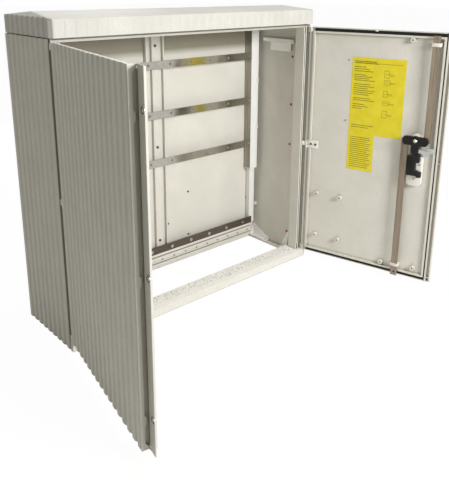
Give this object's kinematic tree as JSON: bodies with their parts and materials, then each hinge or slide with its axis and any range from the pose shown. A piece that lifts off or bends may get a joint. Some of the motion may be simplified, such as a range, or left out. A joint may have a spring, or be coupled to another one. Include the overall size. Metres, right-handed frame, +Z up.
{
  "type": "roadside utility cabinet",
  "caption": "Floor-standing outdoor cable distribution cabinet with ribbed walls, a low hipped roof, open double doors, a rod lock and perforated mounting rails.",
  "frame": {"origin": "centre of the cabinet's footprint, on the ground, midway between the base bolt holes", "axes": "+X to the right along the width, +Y to the rear, so that the front faces -Y, and +Z up"},
  "size_m": [1.3472, 0.8949, 1.058],
  "materials": {
    "shell": "light grey glass-fibre moulding",
    "white_steel": "white paint",
    "galvanised": "galvanised sheet steel",
    "dark_steel": "dark primer",
    "zinc": "zinc plated",
    "cream_plastic": "cream moulding",
    "insert_brass": "red-brown plug",
    "black_plastic": "black moulding",
    "seal_rubber": "foam strip",
    "yellow_sheet": "yellow printed sheet",
    "rod_steel": "yellow-passivated flat bar"
  },
  "bodies": {
    "cabinet": {"front_sill": "shell", "left_side_wall": "shell", "right_side_wall": "shell", "left_rear_panel": "shell", "right_rear_panel": "shell", "centre_post": "shell", "roof": "shell", "top_front_rail": "shell", "top_rear_rail": "shell", "rear_beam": "shell", "left_upright": "white_steel", "right_upright": "white_steel", "left_rail_angle": "galvanised", "right_rail_angle": "galvanised", "upper_mounting_rail": "galvanised", "middle_mounting_rail": "galvanised", "lower_mounting_rail": "galvanised", "cable_rail": "dark_steel", "front_gussets": "cream_plastic", "rear_gussets": "cream_plastic", "roof_straps": "cream_plastic", "wall_inserts": "insert_brass", "rail_screws": "zinc", "post_screws": "zinc", "left_hinge_brackets": "cream_plastic", "right_hinge_brackets": "cream_plastic", "left_hinge_pins": "zinc", "right_hinge_pins": "zinc"},
    "left_door": {"left_door": "shell", "left_hinge_leaf": "cream_plastic", "left_leaf_screws": "zinc", "left_door_seal": "seal_rubber", "keeper_studs": "zinc"},
    "right_door": {"right_door": "shell", "right_hinge_leaf": "cream_plastic", "right_leaf_screws": "zinc", "right_door_seal": "seal_rubber", "instruction_sheet": "yellow_sheet", "instruction_card": "yellow_sheet", "lock_base": "cream_plastic", "lock_case": "black_plastic", "rod_guides": "cream_plastic", "handle_plate": "black_plastic"},
    "lock": {"lock_rotor": "black_plastic", "lock_spindle": "zinc", "spindle_screw": "zinc", "lock_handle": "black_plastic"},
    "upper_rod": {"upper_rod": "rod_steel"},
    "lower_rod": {"lower_rod": "rod_steel"},
    "latch": {"latch_bolt": "galvanised"}
  },
  "joints": [
    {"name": "left_door_hinge", "type": "hinge", "parent": "cabinet", "child": "left_door", "pos_m": [-0.551, -0.154, 0], "axis": [0, 0, -1], "range_deg": [-100.5, 14.5]},
    {"name": "right_door_hinge", "type": "hinge", "parent": "cabinet", "child": "right_door", "pos_m": [0.551, -0.154, 0], "axis": [0, 0, 1], "range_deg": [-104, 11]},
    {"name": "lock_turn", "type": "hinge", "parent": "right_door", "child": "lock", "pos_m": [0.63488, -0.60202, 0.587], "axis": [-0.9703, -0.2419, 0], "range_deg": [-27, 27]},
    {"name": "upper_rod_slide", "type": "slide", "parent": "right_door", "child": "upper_rod", "axis": [0, 0, 1], "range_m": [-0.01555, 0.01555]},
    {"name": "lower_rod_slide", "type": "slide", "parent": "right_door", "child": "lower_rod", "axis": [0, 0, -1], "range_m": [-0.01555, 0.01555]},
    {"name": "latch_slide", "type": "slide", "parent": "right_door", "child": "latch", "axis": [0.2419, -0.9703, 0], "range_m": [-0.01555, 0.01555]}
  ],
  "couplings": [
    {"joint": "upper_rod_slide", "follows": "lock_turn", "m_per_rad": 0.033},
    {"joint": "lower_rod_slide", "follows": "lock_turn", "m_per_rad": 0.033},
    {"joint": "latch_slide", "follows": "lock_turn", "m_per_rad": 0.033}
  ]
}
